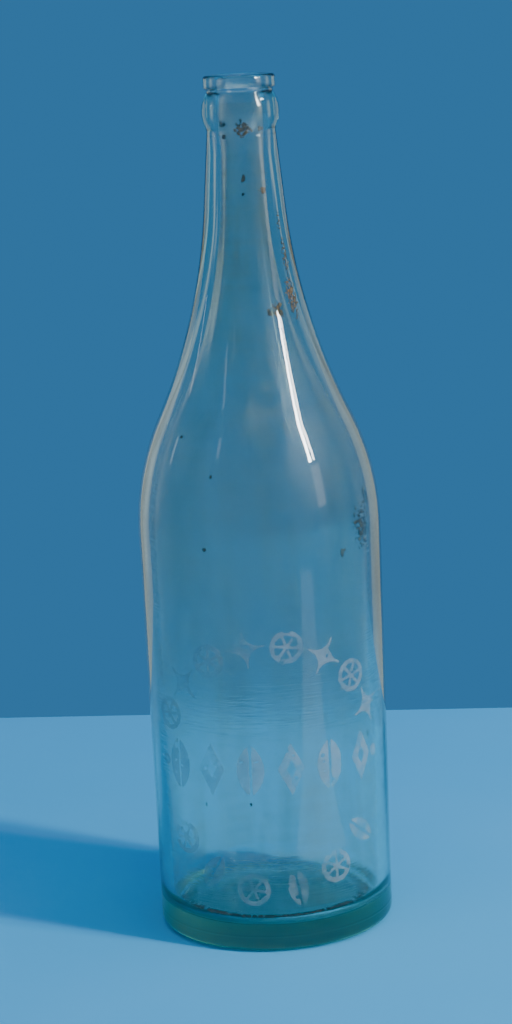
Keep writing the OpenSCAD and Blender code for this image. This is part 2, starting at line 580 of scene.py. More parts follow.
@dataclass(frozen=True)
class WornEnamel(Finish):
    """Matt fired enamel, rubbed thin so that the glass shows through it."""

    pale: tuple[float, float, float] = (0.50, 0.52, 0.50)
    dull: tuple[float, float, float] = (0.36, 0.40, 0.39)
    thick: float = 0.28
    thin: float = 0.08
    tone_scale: float = 160.0
    wear_scale: float = 85.0
    wear_cover: float = 0.56
    wear_edge: float = 0.16
    grain_scale: float = 2600.0
    grain_rough: float = 0.7
    grain_depth: float = 0.00004
    grain_strength: float = 0.6
    speck_cover: tuple[float, float] = (0.55, 1.15)
    rough: tuple[float, float] = (0.55, 0.85)

    def material(self, groups: EffectGroups) -> bpy.types.Material:
        """Makes the enamel.

        Args:
            groups: The shared groups.

        Returns:
            The material.
        """
        material, bench = self.start("worn_enamel")
        colour = self.tones(bench, groups, self.tone_scale, self.pale, self.dull)
        kept = self.group(
            bench,
            groups.patches,
            Scale=self.wear_scale,
            Cover=self.wear_cover,
            Edge=self.wear_edge,
        )
        grain = self.group(bench, groups.grain, Scale=self.grain_scale, Rough=self.grain_rough)
        cover = bench.spread(kept, 0.0, 1.0, self.thin, self.thick)
        specks = bench.spread(grain, 0.38, 0.62, *self.speck_cover)
        shader = bench.add(
            "ShaderNodeBsdfPrincipled",
            Base_Color=colour,
            Roughness=bench.spread(grain, 0.3, 0.7, *self.rough),
            Alpha=bench.maths("MULTIPLY", cover, specks),
            Normal=self.relief(bench, grain, self.grain_depth, self.grain_strength),
        )
        self.close(bench, shader)
        return material


@dataclass(frozen=True)
class DriedFilm(Finish):
    """The thin bloom that evaporated water leaves inside, browner towards the mouth."""

    bloom: tuple[float, float, float] = (0.52, 0.43, 0.16)
    brown: tuple[float, float, float] = (0.33, 0.25, 0.09)
    thin: float = 0.024
    thick: float = 0.07
    brown_band: tuple[float, float] = (0.19, 0.31)
    brown_cover: float = 2.4
    tone_scale: float = 90.0
    tone_stretch: float = 0.3
    streak_scale: float = 70.0
    streak_cover: float = 0.46
    streak_edge: float = 0.2
    streak_stretch: float = 0.12
    tide_lines: float = 420.0
    tide_along: float = 30.0
    tide_cover: float = 0.62
    tide_change: tuple[float, float] = (0.8, 1.6)
    tide_depth: float = 0.00003
    tide_strength: float = 0.5
    rough: float = 0.9

    def material(self, groups: EffectGroups) -> bpy.types.Material:
        """Makes the film.

        Args:
            groups: The shared groups.

        Returns:
            The material.
        """
        material, bench = self.start("dried_film")
        streaks = self.group(
            bench,
            groups.patches,
            Scale=self.streak_scale,
            Cover=self.streak_cover,
            Edge=self.streak_edge,
            Stretch=self.streak_stretch,
        )
        tides = self.group(
            bench,
            groups.ripple,
            Lines=self.tide_lines,
            Along=self.tide_along,
            Cover=self.tide_cover,
        )
        high = bench.spread(self.height(bench), *self.brown_band, 0.0, 1.0)
        tone = self.tones(
            bench, groups, self.tone_scale, self.bloom, self.brown, self.tone_stretch
        )
        cover = bench.spread(streaks, 0.0, 1.0, self.thin, self.thick)
        for change in (
            bench.spread(tides, 0.2, 0.7, *self.tide_change),
            bench.spread(high, 0.0, 1.0, 1.0, self.brown_cover),
        ):
            cover = bench.maths("MULTIPLY", cover, change)
        shader = bench.add(
            "ShaderNodeBsdfPrincipled",
            Base_Color=bench.blend(high, tone, rgba(self.brown)),
            Roughness=self.rough,
            Specular_IOR_Level=0.0,
            Alpha=cover,
            Normal=self.relief(bench, tides, self.tide_depth, self.tide_strength),
        )
        self.close(bench, shader)
        return material


@dataclass(frozen=True)
class Crust(Finish):
    """Rust or dried dirt, matt and grainy."""

    name: str
    first: tuple[float, float, float]
    second: tuple[float, float, float]
    cover: float = 0.92
    tone_scale: float = 700.0
    grain_scale: float = 3000.0
    grain_rough: float = 0.75
    grain_depth: float = 0.0001
    grain_strength: float = 0.8
    rough: tuple[float, float] = (0.6, 0.95)

    def material(self, groups: EffectGroups) -> bpy.types.Material:
        """Makes the crust.

        Args:
            groups: The shared groups.

        Returns:
            The material.
        """
        material, bench = self.start(self.name)
        grain = self.group(bench, groups.grain, Scale=self.grain_scale, Rough=self.grain_rough)
        shader = bench.add(
            "ShaderNodeBsdfPrincipled",
            Base_Color=self.tones(bench, groups, self.tone_scale, self.first, self.second),
            Roughness=bench.spread(grain, 0.3, 0.7, *self.rough),
            Alpha=bench.spread(grain, 0.35, 0.55, 0.25 * self.cover, self.cover),
            Normal=self.relief(bench, grain, self.grain_depth, self.grain_strength),
        )
        self.close(bench, shader)
        return material


@dataclass(frozen=True)
class TablePaper(Finish):
    """The plain pale floor: matt paper with hardly any grain."""

    first: tuple[float, float, float] = (0.075, 0.46, 0.81)
    second: tuple[float, float, float] = (0.082, 0.47, 0.82)
    tone_scale: float = 9.0
    grain_scale: float = 1500.0
    grain_rough: float = 0.6
    grain_depth: float = 0.00005
    grain_strength: float = 0.4
    rough: float = 0.8

    def material(self, groups: EffectGroups) -> bpy.types.Material:
        """Makes the paper.

        Args:
            groups: The shared groups.

        Returns:
            The material.
        """
        material, bench = self.start("table_paper")
        grain = self.group(bench, groups.grain, Scale=self.grain_scale, Rough=self.grain_rough)
        shader = bench.add(
            "ShaderNodeBsdfPrincipled",
            Base_Color=self.tones(bench, groups, self.tone_scale, self.first, self.second),
            Roughness=self.rough,
            Specular_IOR_Level=0.0,
            Normal=self.relief(bench, grain, self.grain_depth, self.grain_strength),
        )
        self.close(bench, shader)
        return material


# ---- Outline of the glass -------------------------------------------------------------------


def dot(a: complex, b: complex) -> float:
    """The scalar product of two points of the outline."""
    return a.real * b.real + a.imag * b.imag


def at_angle(degrees: float) -> complex:
    """The unit step in a direction of the outline's plane."""
    return cmath.rect(1.0, math.radians(degrees))


def angle_to(a: complex, b: complex) -> float:
    """The direction from a to b, in degrees."""
    return math.degrees(cmath.phase(b - a))


def limited(share: float) -> float:
    """Keeps a share between 0 and 1."""
    return min(1.0, max(0.0, share))


def arc(centre: complex, radius: float, start: float, end: float) -> list[complex]:
    """Points on an arc, close enough to look round.

    Args:
        centre: The arc's centre.
        radius: The arc's radius.
        start: The first angle, in degrees.
        end: The last angle, in degrees.

    Returns:
        The points, both ends included.
    """
    count = max(6, math.ceil(abs(math.radians(end - start)) * abs(radius) / 1.6))
    return [centre + radius * at_angle(start + (end - start) * i / count) for i in range(count + 1)]


@dataclass(frozen=True)
class GlassOutline:
    """The outline of the glass, with the sizes of the CAD solid.

    A point's real part is its radius and its imaginary part is its height.
    """

    overall_h: float = 322.5
    body_d: float = 89.4
    body_flare: float = 2.2
    body_wall: float = 5.0
    shoulder_h: float = 121.5
    shoulder_round: float = 102.0
    neck_h: float = 28.0
    neck_d: float = 25.6
    neck_taper: float = 5.0
    neck_wall: float = 6.2
    finish_h: float = 20.5
    crown_d: float = 26.6
    groove_depth: float = 1.1
    groove_round: float = 1.0
    groove_exit: float = 120.0
    collar_stand: float = 1.1
    collar_round: float = 13.0
    collar_drop: float = 13.4
    collar_blend: float = 4.0
    lip_round: float = 1.4
    bore_d: float = 16.6
    bore_h: float = 20.0
    choke_d: float = 16.0
    choke_drop: float = 8.0
    mouth_round: float = 1.3
    heel_round: float = 3.5
    bearing_w: float = 5.0
    kick_h: float = 4.5
    floor_h: float = 8.5
    floor_rise: float = 3.0
    floor_round: float = 7.0
    ring_edge: float = 0.3

    @property
    def neck_top_z(self) -> float:
        """Height of the foot of the finish."""
        return self.overall_h - self.finish_h

    @property
    def neck_foot_z(self) -> float:
        """Height of the foot of the straight neck."""
        return self.neck_top_z - self.neck_h

    @property
    def shoulder_z(self) -> float:
        """Height at which the shoulder starts."""
        return self.neck_foot_z - self.shoulder_h

    @property
    def lean(self) -> float:
        """Lean of the body wall, in degrees."""
        return math.degrees(math.atan(self.body_flare / 2 / self.shoulder_z))

    @property
    def shoulder_r(self) -> float:
        """The body's largest radius."""
        return (self.body_d + self.body_flare) / 2

    @property
    def choke_z(self) -> float:
        """Height of the narrowest place inside."""
        return self.overall_h - self.mouth_round - self.bore_h - self.choke_drop

    def _sweep(self, start: complex, radius: float, end: complex, taper: float) -> list[complex]:
        """The convex shoulder arc and the hollow sweep that runs into the neck.

        Args:
            start: Where the body line ends.
            radius: The convex arc's radius.
            end: The foot of the neck line.
            taper: The neck line's lean, in degrees.

        Returns:
            The points, from the body to the neck.
        """
        a = start - radius * at_angle(-self.lean)
        v = a - end
        reach = at_angle(taper)
        big = (dot(v, v) - radius * radius) / (2 * (radius + dot(v, reach)))
        b = end + big * reach
        turn = angle_to(a, b)
        return arc(a, radius, -self.lean, turn) + arc(b, big, 180 + turn, 180 + taper)[1:]

    @staticmethod
    def _dome(radius: float, height: float, rise: float) -> list[complex]:
        """A shallow dome, from the axis outwards.

        Args:
            radius: The dome's outer radius.
            height: The height of its edge.
            rise: How far the middle stands above the edge.

        Returns:
            The points.
        """
        big = (radius * radius + rise * rise) / (2 * rise)
        return arc(complex(0, height + rise - big), big, 90, math.degrees(math.acos(radius / big)))

    def outer(self) -> list[complex]:
        """The outside, from the middle of the base up to the collar's foot.

        Returns:
            The points.
        """
        heel_r = self.body_d / 2 - self.heel_round
        under = self._dome(heel_r - self.bearing_w, 0.0, self.kick_h)
        heel = arc(complex(heel_r, self.heel_round), self.heel_round, -90, -self.lean)
        foot_r = self.neck_d / 2 + self.neck_h * math.tan(math.radians(self.neck_taper))
        wall = self._sweep(
            complex(self.shoulder_r, self.shoulder_z),
            self.shoulder_round,
            complex(foot_r, self.neck_foot_z),
            self.neck_taper,
        )
        return under + heel + wall

    def finish(self) -> list[complex]:
        """The collar, the groove, the locking ring, the lip and the mouth, going inwards.

        Returns:
            The points.
        """
        crown_r = self.crown_d / 2
        collar_c = complex(
            crown_r + self.collar_stand - self.collar_round, self.overall_h - self.collar_drop
        )
        normal = at_angle(self.neck_taper)
        along = normal * 1j
        line = complex(self.neck_d / 2, self.neck_top_z) + self.collar_blend * normal
        away = collar_c - line
        reach = math.sqrt((self.collar_round + self.collar_blend) ** 2 - dot(away, normal) ** 2)
        blend_c = line + (dot(away, along) - reach) * along
        blend_to = angle_to(blend_c, collar_c)
        groove_dx = crown_r - self.groove_depth + self.groove_round - collar_c.real
        groove_dz = math.sqrt((self.collar_round + self.groove_round) ** 2 - groove_dx**2)
        groove_c = collar_c + complex(groove_dx, groove_dz)
        groove_from = angle_to(groove_c, collar_c)
        groove_end = groove_c + self.groove_round * at_angle(self.groove_exit)
        drop = (crown_r - groove_end.real) / math.tan(math.radians(self.groove_exit))
        crown_foot = complex(crown_r, groove_end.imag - drop)
        edge_c = crown_foot + complex(-self.ring_edge, self.ring_edge * 0.8)
        bore_r = self.bore_d / 2
        lip_c = complex(crown_r - self.lip_round, self.overall_h - self.lip_round)
        mouth_c = complex(bore_r + self.mouth_round, self.overall_h - self.mouth_round)
        return (
            arc(blend_c, self.collar_blend, 180 + self.neck_taper, blend_to)
            + arc(collar_c, self.collar_round, blend_to - 180, groove_from + 180)[1:]
            + arc(groove_c, self.groove_round, groove_from + 360, self.groove_exit)[1:]
            + arc(edge_c, self.ring_edge, -60, 0)
            + arc(lip_c, self.lip_round, 0, 90)
            + arc(mouth_c, self.mouth_round, 90, 180)
        )

    def inner(self) -> list[complex]:
        """The inside, from the top of the bore down to the middle of the floor.

        Returns:
            The points.
        """
        throat_r = (
            self.neck_d / 2
            + self.neck_h * math.tan(math.radians(self.neck_taper))
            - self.neck_wall
        )
        throat_at = complex(throat_r, self.neck_foot_z)
        choke_at = complex(self.choke_d / 2, self.choke_z)
        across = throat_at.real - choke_at.real
        taper = math.degrees(math.atan2(across, choke_at.imag - throat_at.imag))
        start = complex(self.shoulder_r, self.shoulder_z) - self.body_wall * at_angle(-self.lean)
        wall = self._sweep(start, self.shoulder_round - self.body_wall, throat_at, taper)
        floor_r = self.body_d / 2 - self.body_wall - self.floor_round
        corner = arc(
            complex(floor_r, self.floor_h + self.floor_round), self.floor_round, -self.lean, -90
        )
        floor = self._dome(floor_r, self.floor_h, self.floor_rise)
        bore_at = complex(self.bore_d / 2, self.choke_z + self.choke_drop)
        return [bore_at, choke_at] + wall[::-1] + corner + floor[::-1][1:]

    @staticmethod
    def refined(points: Sequence[complex], step: float) -> list[complex]:
        """Adds points so that no span is longer than a step.

        Args:
            points: The outline.
            step: The longest span allowed.

        Returns:
            The outline with points added on its spans.
        """
        dense: list[complex] = [points[0]]
        for a, b in zip(points, points[1:]):
            gap = abs(b - a)
            if gap < 1e-4:
                continue
            count = max(1, math.ceil(gap / step))
            dense += [a + (b - a) * i / count for i in range(1, count + 1)]
        return dense


class WallTable:
    """The radius of the outside and of the inside at a height."""

    def __init__(self, outline: GlassOutline) -> None:
        """Reads both walls off the outline.

        Args:
            outline: The outline of the glass.
        """
        outer = self._walls_only(outline.outer(), 20.0) + outline.finish()
        top = max(range(len(outer)), key=lambda i: outer[i].imag)
        outside = outer[: top + 1]
        inside = self._walls_only(outline.inner(), 30.0)[::-1]
        self._out = self._rising(outside)
        self._in = self._rising(inside)

    @staticmethod
    def _walls_only(points: Sequence[complex], floor_r: float) -> list[complex]:
        """Leaves out the points of a floor.

        Args:
            points: Points of the outline.
            floor_r: Low points inside this radius belong to a floor.

        Returns:
            The points of the wall.
        """
        floor_top = 60.0
        return [p for p in points if p.real > floor_r or p.imag > floor_top]

    @staticmethod
    def _rising(points: Sequence[complex]) -> tuple[np.ndarray, np.ndarray]:
        """Sorts points by height.

        Args:
            points: Points of one wall.

        Returns:
            Heights and radii.
        """
        pairs = sorted((p.imag, p.real) for p in points)
        return np.array([z for z, _ in pairs]), np.array([r for _, r in pairs])

    def outside(self, z: float) -> float:
        """Outer radius at height z."""
        return float(np.interp(z, *self._out))

    def inside(self, z: float) -> float:
        """Inner radius at height z."""
        return float(np.interp(z, *self._in))


# ---- Mesh tools -----------------------------------------------------------------------------


def new_piece(
    bm: bmesh.types.BMesh, name: str, material: bpy.types.Material
) -> bpy.types.Object:
    """Turns a mesh into a shown piece that rides on the body.

    Args:
        bm: The mesh, in metres. It is freed.
        name: The piece's name.
        material: Its material.

    Returns:
        The piece.
    """
    mesh = bpy.data.meshes.new(name)
    bm.to_mesh(mesh)
    bm.free()
    mesh.polygons.foreach_set("use_smooth", [True] * len(mesh.polygons))
    mesh.materials.append(material)
    piece = bpy.data.objects.new(name, mesh)
    bpy.context.scene.collection.objects.link(piece)
    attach(piece, BODY)
    LOG.info("%s: %d faces", name, len(mesh.polygons))
    return piece


def turned(
    bm: bmesh.types.BMesh,
    outline: Sequence[complex],
    angles: Sequence[float],
    shift: Callable[[int, float], float],
    closed: bool,
) -> None:
    """Turns an outline round the axis.

    Args:
        bm: The mesh that takes the faces.
        outline: Points in millimetres. An open outline starts and ends on the axis.
        angles: The angles of the rings' points, rising, in radians.
        shift: Millimetres to add to the radius, from a point's number and its angle.
        closed: Whether the outline is a loop off the axis.
    """
    rings: list[list[bmesh.types.BMVert]] = []
    for index, point in enumerate(outline):
        if point.real < 1e-6:
            rings.append([bm.verts.new((0.0, 0.0, point.imag * MM))])
            continue
        ring = []
        for angle in angles:
            radius = (point.real + shift(index, angle)) * MM
            ring.append(
                bm.verts.new((radius * math.cos(angle), radius * math.sin(angle), point.imag * MM))
            )
        rings.append(ring)
    pairs = list(zip(rings, rings[1:]))
    if closed:
        pairs.append((rings[-1], rings[0]))
    count = len(angles)
    for low, high in pairs:
        for j in range(count):
            k = (j + 1) % count
            corners = [
                low[j] if len(low) > 1 else low[0],
                low[k] if len(low) > 1 else None,
                high[k] if len(high) > 1 else None,
                high[j] if len(high) > 1 else high[0],
            ]
            bm.faces.new([v for v in corners if v is not None])


@dataclass(frozen=True)
class ThinLayer:
    """A thin layer on a wall, cut to the region where a field is negative."""

    half_w: float
    half_h: float
    cell: float
    level: Field

    def lay(self, bm: bmesh.types.BMesh, place: Place, low: float, high: float) -> None:
        """Builds the layer as a closed shell.

        Args:
            bm: The mesh that takes it.
            place: Gives the point for a place along and up the wall and a lift, in millimetres.
            low: Lift of the underside.
            high: Lift of the top.
        """
        wide = math.ceil(self.half_w / self.cell)
        tall = math.ceil(self.half_h / self.cell)
        us = np.arange(-wide, wide + 1) * self.cell
        vs = np.arange(-tall, tall + 1) * self.cell
        grid_u, grid_v = np.meshgrid(us, vs, indexing="ij")
        level = self.level(grid_u, grid_v)
        level[0, :] = level[-1, :] = 1.0
        level[:, 0] = level[:, -1] = 1.0
        level[np.abs(level) < 1e-4] = 1e-4
        inside = level < 0
        cells = inside[:-1, :-1] | inside[1:, :-1] | inside[1:, 1:] | inside[:-1, 1:]
        flat: dict[tuple[int, int, int], tuple[float, float]] = {}
        faces: list[list[tuple[int, int, int]]] = []
        for i, j in np.argwhere(cells):
            corners = ((i, j), (i + 1, j), (i + 1, j + 1), (i, j + 1))
            loop: list[tuple[int, int, int]] = []
            for (a, b), (c, d) in zip(corners, corners[1:] + corners[:1]):
                here, there = level[a, b], level[c, d]
                if here < 0:
                    key = (int(a), int(b), 0)
                    flat[key] = (float(us[a]), float(vs[b]))
                    loop.append(key)
                if (here < 0) != (there < 0):
                    share = here / (here - there)
                    key = (int(min(a, c)), int(min(b, d)), 1 if b == d else 2)
                    flat[key] = (
                        float(us[a] + (us[c] - us[a]) * share),
                        float(vs[b] + (vs[d] - vs[b]) * share),
                    )
                    loop.append(key)
            faces.append(loop)
        if not faces:
            return
        self._shell(bm, flat, faces, place, low, high)

    @staticmethod
    def _shell(
        bm: bmesh.types.BMesh,
        flat: dict[tuple[int, int, int], tuple[float, float]],
        faces: Sequence[Sequence[tuple[int, int, int]]],
        place: Place,
        low: float,
        high: float,
    ) -> None:
        """Doubles the flat faces and closes their rim.

        Args:
            bm: The mesh that takes the shell.
            flat: The flat points by key.
            faces: Loops of keys.
            place: Gives the point for a place and a lift.
            low: Lift of the underside.
            high: Lift of the top.
        """
        under = {key: bm.verts.new(place(u, v, low)) for key, (u, v) in flat.items()}
        over = {key: bm.verts.new(place(u, v, high)) for key, (u, v) in flat.items()}
        rim: dict[tuple[tuple[int, int, int], tuple[int, int, int]], int] = {}
        for loop in faces:
            bm.faces.new([over[key] for key in loop])
            bm.faces.new([under[key] for key in reversed(loop)])
            for a, b in zip(loop, [*loop[1:], loop[0]]):
                rim[(a, b)] = 1
        for a, b in rim:
            if (b, a) not in rim:
                bm.faces.new([over[b], over[a], under[a], under[b]])


# ---- The glass body -------------------------------------------------------------------------


@dataclass
class BottleGlass:
    """The glass body, with the marks that moulding and blowing leave in it."""

    outline: GlassOutline
    walls: WallTable
    finish: AquaGlass
    segments: int = 224
    step: float = 1.8
    slack: float = 0.1
    seam_h: float = 0.07
    seam_w: float = 0.5
    seam_ring_h: float = 0.1
    seam_ring_w: float = 0.3
    heel_line_z: float = 6.2
    collar_line_drop: float = 1.5
    seam_from: float = 3.0
    seam_fade: float = 4.0
    swell: float = 0.05
    wave: float = 0.32
    cord: float = 0.16
    seeds: int = 34
    seed: int = 11

    @property
    def mould_lines(self) -> tuple[float, float]:
        """Heights of the mould lines at the heel and under the collar."""
        return (self.heel_line_z, self.outline.neck_top_z - self.collar_line_drop)

    def angles(self) -> list[float]:
        """Angles of the rings' points, closer together at the two side seams.

        Returns:
            The angles, rising, in radians.
        """
        even = [2 * math.pi * i / self.segments for i in range(self.segments)]
        extra = [
            seam + math.radians(offset)
            for seam in (0.0, math.pi)
            for offset in (-1.2, -0.8, -0.4, 0.4, 0.8, 1.2)
        ]
        return sorted({round(a % (2 * math.pi), 6) for a in even + extra})

    def outer_shift(self, z: float, angle: float) -> float:
        """Millimetres from the CAD outline to the real outside, never positive.

        Args:
            z: Height.
            angle: Angle round the axis.

        Returns:
            The shift of the radius.
        """
        left = self.outline.overall_h - self.seam_from - z
        fade = limited((z - self.seam_from) / self.seam_fade) * limited(left / self.seam_fade)
        radius = self.walls.outside(z)
        off = abs(math.remainder(angle, math.pi)) * radius
        seam = self.seam_h * math.exp(-((off / self.seam_w) ** 2))
        rings = 0.0
        for line in self.mould_lines:
            rings += self.seam_ring_h * math.exp(-(((z - line) / self.seam_ring_w) ** 2))
        swell = noise.noise(Vector((math.cos(angle) * 1.1, math.sin(angle) * 1.1, z / 60)))
        return fade * (-self.slack + max(seam, rings) + self.swell * min(0.0, swell))

    def inner_shift(self, z: float, angle: float) -> float:
        """Millimetres from the CAD outline to the real, uneven inside.

        Args:
            z: Height.
            angle: Angle round the axis.

        Returns:
            The shift of the radius.
        """
        c, s = math.cos(angle), math.sin(angle)
        broad = noise.noise(Vector((c * 1.3 + 5.0, s * 1.3, z / 48)))
        cords = noise.noise(Vector((c * 4.5, s * 4.5 + 3.0, z / 120)))
        fade = limited((self.outline.choke_z - z) / 30) * limited((z - 14) / 60)
        return fade * (self.wave * broad + self.cord * cords)

    def build(self, groups: EffectGroups) -> bpy.types.Object:
        """Builds the body.

        Args:
            groups: The shared groups.

        Returns:
            The piece.
        """
        outside = self.outline.refined(self.outline.outer() + self.outline.finish(), self.step)
        for line in self.mould_lines:
            outside = self._with_line(outside, line)
        inside = self.outline.refined(self.outline.inner(), self.step)
        lip = max(range(len(outside)), key=lambda i: outside[i].imag)
        points = outside + inside
        bm = bmesh.new()

        def shift(index: int, angle: float) -> float:
            """Chooses the wall that a point belongs to.

            Args:
                index: The point's number.
                angle: Angle round the axis.

            Returns:
                The shift of the radius.
            """
            point = points[index]
            if index <= lip:
                low = point.imag < self.seam_from
                return 0.0 if low else self.outer_shift(point.imag, angle)
            if index < len(outside) or point.imag < self.outline.floor_h + 1:
                return 0.0
            return self.inner_shift(point.imag, angle)

        turned(bm, points, self.angles(), shift, closed=False)
        bmesh.ops.recalc_face_normals(bm, faces=bm.faces)
        self._mark(bm)
        self._seed_bubbles(bm)
        return new_piece(bm, "glass_body", self.finish.material(groups))

    def _mark(self, bm: bmesh.types.BMesh) -> None:
        """Marks the inner wall and the underside for the finish.

        Args:
            bm: The body's mesh.
        """
        for name in (INNER_MARK, UNDER_MARK):
            bm.verts.layers.float.new(name)
        inner, under = (bm.verts.layers.float[name] for name in (INNER_MARK, UNDER_MARK))
        under_r = self.outline.body_d / 2 - 2
        for vert in bm.verts:
            z = vert.co.z / MM
            wall = (self.walls.outside(z) + self.walls.inside(z)) / 2
            radius = vert.co.xy.length / MM
            vert[inner] = float(z > self.outline.floor_h - 1 and radius < wall)
            vert[under] = float(z < self.outline.kick_h + 1 and radius < under_r)

    def _with_line(self, points: Sequence[complex], line: float) -> list[complex]:
        """Adds close points where a mould line crosses the outside.

        Args:
            points: The outside, in order.
            line: The line's height.

        Returns:
            The outside with the points added.
        """
        offsets = (-0.6, -0.4, -0.2, 0.0, 0.2, 0.4, 0.6)
        dense = [points[0]]
        for a, b in zip(points, points[1:]):
            if b.imag > a.imag and a.real > 10:
                for offset in offsets:
                    z = line + offset
                    if a.imag < z < b.imag:
                        dense.append(a + (b - a) * (z - a.imag) / (b.imag - a.imag))
            dense.append(b)
        return dense

    def _seed_bubbles(self, bm: bmesh.types.BMesh) -> None:
        """Adds seed bubbles: small closed hollows in the thick of the glass.

        Args:
            bm: The body's mesh.
        """
        draw = random.Random(self.seed)
        for index in range(self.seeds):
            turn = draw.uniform(0, 2 * math.pi)
            size = draw.uniform(0.18, 0.5) * MM
            if index % 2:
                radius = draw.uniform(14, 38)
                z = 4.6 + 2.2 * (1 - radius / 38) + draw.uniform(-0.8, 0.8)
                stretch = (1.0, 1.3, 0.7)
            else:
                z = draw.uniform(20, 250)
                middle = (self.walls.outside(z) + self.walls.inside(z)) / 2
                radius = middle + draw.uniform(-0.8, 0.8)
                stretch = (0.7, 0.8, draw.uniform(1.4, 3.0))
            place = (
                Matrix.Rotation(turn, 4, "Z")
                @ Matrix.Translation((radius * MM, 0, z * MM))
                @ Matrix.Diagonal((*(size * s for s in stretch), 1.0))
            )
            made = bmesh.ops.create_icosphere(bm, subdivisions=2, radius=1.0, matrix=place)
            faces = {f for v in made["verts"] for f in v.link_faces}
            bmesh.ops.reverse_faces(bm, faces=list(faces))


# ---- The enamel -----------------------------------------------------------------------------


@dataclass(frozen=True)
class Ornament:
    """One ornament: where it is on the wall and what it is."""

    motif: Motif
    along: float
    z: float
    tilt: float
    height: float


